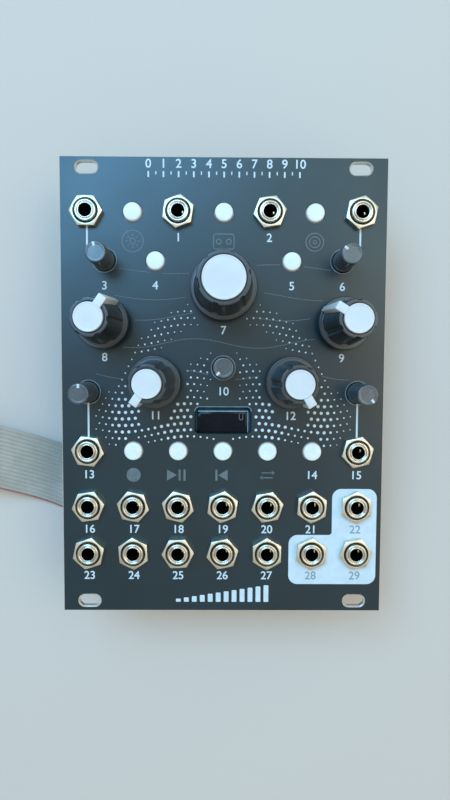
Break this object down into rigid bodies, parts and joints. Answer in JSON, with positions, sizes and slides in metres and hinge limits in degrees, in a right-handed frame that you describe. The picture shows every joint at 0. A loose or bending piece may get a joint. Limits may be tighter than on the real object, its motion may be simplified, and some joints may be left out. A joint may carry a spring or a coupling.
{
  "type": "eurorack synthesizer module",
  "caption": "Black eurorack synthesizer module with knobs, trimmers, lit buttons, jack sockets, a small display and a grey power ribbon.",
  "frame": {"origin": "on the table under the middle of the panel, with the module lying on its back", "axes": "+X to the panel's right, +Y towards its top edge, +Z out of its face"},
  "size_m": [0.2342, 0.1284, 0.0518],
  "materials": {
    "panel": "gloss black paint on aluminium",
    "jack": "warm plated nut, silver lip, black inside",
    "pot": "plated bush and nut over a dark body",
    "knob": "satin black with a white cap",
    "trimmer": "satin black with a white mark",
    "button": "milky translucent white, lit",
    "display": "dark display glass",
    "plastic": "moulded black",
    "board": "black solder mask",
    "ribbon": "grey ribbed insulation, red first wire",
    "strap": "black woven strap"
  },
  "bodies": {
    "module": {"front_panel": "panel", "jack_01": "jack", "jack_02": "jack", "jack_03": "jack", "jack_04": "jack", "jack_05": "jack", "jack_06": "jack", "jack_07": "jack", "jack_08": "jack", "jack_09": "jack", "jack_10": "jack", "jack_11": "jack", "jack_12": "jack", "jack_13": "jack", "jack_14": "jack", "jack_15": "jack", "jack_16": "jack", "jack_17": "jack", "jack_18": "jack", "jack_19": "jack", "jack_20": "jack", "pot_large": "pot", "pot_upper_left": "pot", "pot_upper_right": "pot", "pot_lower_left": "pot", "pot_lower_right": "pot", "control_board": "board", "display_glass": "display", "display_carrier": "plastic", "processor_board": "board", "socket_strip_left": "plastic", "socket_strip_right": "plastic", "power_header": "plastic", "power_plug": "plastic", "ribbon_lead": "ribbon", "ribbon_folds": "ribbon", "ribbon_strap": "strap", "far_plug": "plastic"},
    "knob_large": {"knob_large": "knob"},
    "knob_upper_left": {"knob_upper_left": "knob"},
    "knob_upper_right": {"knob_upper_right": "knob"},
    "knob_lower_left": {"knob_lower_left": "knob"},
    "knob_lower_right": {"knob_lower_right": "knob"},
    "trimmer_top_left": {"trimmer_top_left": "trimmer"},
    "trimmer_top_right": {"trimmer_top_right": "trimmer"},
    "trimmer_low_left": {"trimmer_low_left": "trimmer"},
    "trimmer_low_right": {"trimmer_low_right": "trimmer"},
    "trimmer_middle": {"trimmer_middle": "trimmer"},
    "button_top_left": {"button_top_left": "button"},
    "button_top_middle": {"button_top_middle": "button"},
    "button_top_right": {"button_top_right": "button"},
    "button_upper_left": {"button_upper_left": "button"},
    "button_upper_right": {"button_upper_right": "button"},
    "button_low_1": {"button_low_1": "button"},
    "button_low_2": {"button_low_2": "button"},
    "button_low_3": {"button_low_3": "button"},
    "button_low_4": {"button_low_4": "button"},
    "button_low_5": {"button_low_5": "button"}
  },
  "joints": [
    {"name": "knob_large_turn", "type": "hinge", "parent": "module", "child": "knob_large", "pos_m": [0, 0.02813, 0.0345], "axis": [0, 0, -1], "range_deg": [-48, 252]},
    {"name": "knob_upper_left_turn", "type": "hinge", "parent": "module", "child": "knob_upper_left", "pos_m": [-0.03334, 0.01834, 0.0345], "axis": [0, 0, -1], "range_deg": [-185, 115]},
    {"name": "knob_upper_right_turn", "type": "hinge", "parent": "module", "child": "knob_upper_right", "pos_m": [0.03334, 0.01834, 0.0345], "axis": [0, 0, -1], "range_deg": [-92, 208]},
    {"name": "knob_lower_left_turn", "type": "hinge", "parent": "module", "child": "knob_lower_left", "pos_m": [-0.01905, 0.00192, 0.0345], "axis": [0, 0, -1], "range_deg": [-4, 296]},
    {"name": "knob_lower_right_turn", "type": "hinge", "parent": "module", "child": "knob_lower_right", "pos_m": [0.01905, 0.00192, 0.0345], "axis": [0, 0, -1], "range_deg": [-299, 1]},
    {"name": "trimmer_top_left_turn", "type": "hinge", "parent": "module", "child": "trimmer_top_left", "pos_m": [-0.03334, 0.03585, 0.0237], "axis": [0, 0, -1], "range_deg": [-127, 153]},
    {"name": "trimmer_top_right_turn", "type": "hinge", "parent": "module", "child": "trimmer_top_right", "pos_m": [0.03334, 0.03585, 0.0237], "axis": [0, 0, -1], "range_deg": [-92, 188]},
    {"name": "trimmer_low_left_turn", "type": "hinge", "parent": "module", "child": "trimmer_low_left", "pos_m": [-0.0381, -0.00107, 0.0237], "axis": [0, 0, -1], "range_deg": [-140, 140]},
    {"name": "trimmer_low_right_turn", "type": "hinge", "parent": "module", "child": "trimmer_low_right", "pos_m": [0.0381, -0.00107, 0.0237], "axis": [0, 0, -1], "range_deg": [-279, 1]},
    {"name": "trimmer_middle_turn", "type": "hinge", "parent": "module", "child": "trimmer_middle", "pos_m": [0, 0.00594, 0.0237], "axis": [0, 0, -1], "range_deg": [-2, 278]},
    {"name": "button_top_left_press", "type": "slide", "parent": "module", "child": "button_top_left", "axis": [0, 0, -1], "range_m": [0, 0.00025], "stiffness_N_per_m": 1000},
    {"name": "button_top_middle_press", "type": "slide", "parent": "module", "child": "button_top_middle", "axis": [0, 0, -1], "range_m": [0, 0.00025], "stiffness_N_per_m": 1000},
    {"name": "button_top_right_press", "type": "slide", "parent": "module", "child": "button_top_right", "axis": [0, 0, -1], "range_m": [0, 0.00025], "stiffness_N_per_m": 1000},
    {"name": "button_upper_left_press", "type": "slide", "parent": "module", "child": "button_upper_left", "axis": [0, 0, -1], "range_m": [0, 0.00025], "stiffness_N_per_m": 1000},
    {"name": "button_upper_right_press", "type": "slide", "parent": "module", "child": "button_upper_right", "axis": [0, 0, -1], "range_m": [0, 0.00025], "stiffness_N_per_m": 1000},
    {"name": "button_low_1_press", "type": "slide", "parent": "module", "child": "button_low_1", "axis": [0, 0, -1], "range_m": [0, 0.00025], "stiffness_N_per_m": 1000},
    {"name": "button_low_2_press", "type": "slide", "parent": "module", "child": "button_low_2", "axis": [0, 0, -1], "range_m": [0, 0.00025], "stiffness_N_per_m": 1000},
    {"name": "button_low_3_press", "type": "slide", "parent": "module", "child": "button_low_3", "axis": [0, 0, -1], "range_m": [0, 0.00025], "stiffness_N_per_m": 1000},
    {"name": "button_low_4_press", "type": "slide", "parent": "module", "child": "button_low_4", "axis": [0, 0, -1], "range_m": [0, 0.00025], "stiffness_N_per_m": 1000},
    {"name": "button_low_5_press", "type": "slide", "parent": "module", "child": "button_low_5", "axis": [0, 0, -1], "range_m": [0, 0.00025], "stiffness_N_per_m": 1000}
  ]
}
